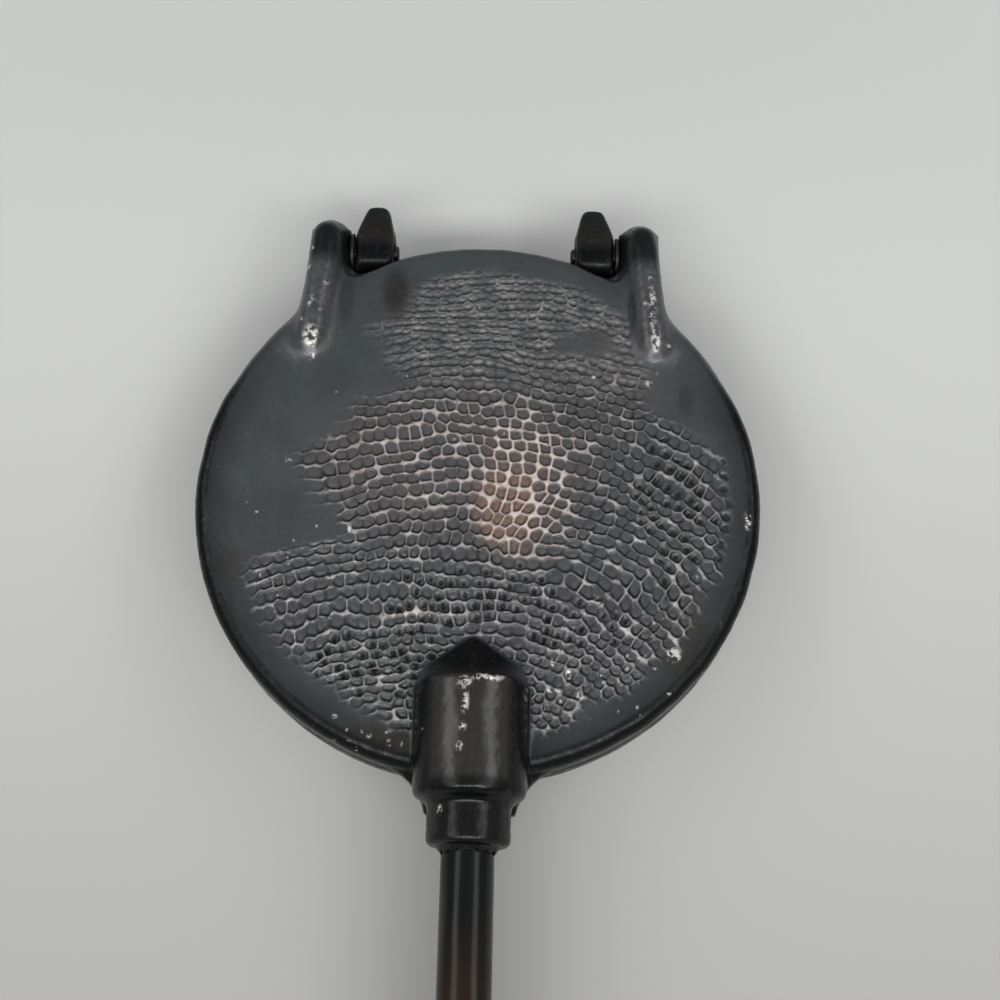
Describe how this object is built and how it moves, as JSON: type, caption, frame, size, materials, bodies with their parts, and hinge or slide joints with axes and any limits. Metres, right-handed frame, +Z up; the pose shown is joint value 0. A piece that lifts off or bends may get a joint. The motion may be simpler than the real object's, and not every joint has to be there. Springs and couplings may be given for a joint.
{
  "type": "pizzelle iron",
  "caption": "Hand-held stove-top cookie iron: two round engraved cast plates hinged at the far edge, long rod handles in bullet sockets, and a wire closing link.",
  "frame": {"origin": "centre of the lower plate's flat back, the face that lies on the burner when the iron is closed", "axes": "+Z up, square to the plates; +Y towards the hinge, with the handles running towards -Y; +X to the right seen from the handles"},
  "size_m": [0.14, 0.4861, 0.0458],
  "materials": {
    "seasoned_iron": "seasoned cast iron, dimpled back, worn to brown on the high spots",
    "handle_steel": "blackened round steel bar, browned by heat",
    "steel_pin": "dull oiled steel",
    "link_wire": "darkened steel wire"
  },
  "bodies": {
    "lower_half": {"lower_plate": "seasoned_iron", "lower_handle_rod": "handle_steel", "lower_socket_rivet": "steel_pin"},
    "upper_half": {"upper_plate": "seasoned_iron", "upper_handle_rod": "handle_steel", "upper_socket_rivet": "steel_pin", "left_hinge_pin": "steel_pin", "right_hinge_pin": "steel_pin", "left_hinge_washer": "steel_pin", "right_hinge_washer": "steel_pin"},
    "closing_link": {"closing_link": "link_wire"}
  },
  "joints": [
    {"name": "lid_hinge", "type": "hinge", "parent": "lower_half", "child": "upper_half", "pos_m": [0, 0.0712, 0.0081], "axis": [-1, 0, 0], "range_deg": [0, 100]},
    {"name": "link_swing", "type": "hinge", "parent": "lower_half", "child": "closing_link", "pos_m": [0, -0.372, -0.0018], "axis": [-1, 0, 0], "range_deg": [-60, 130]}
  ]
}
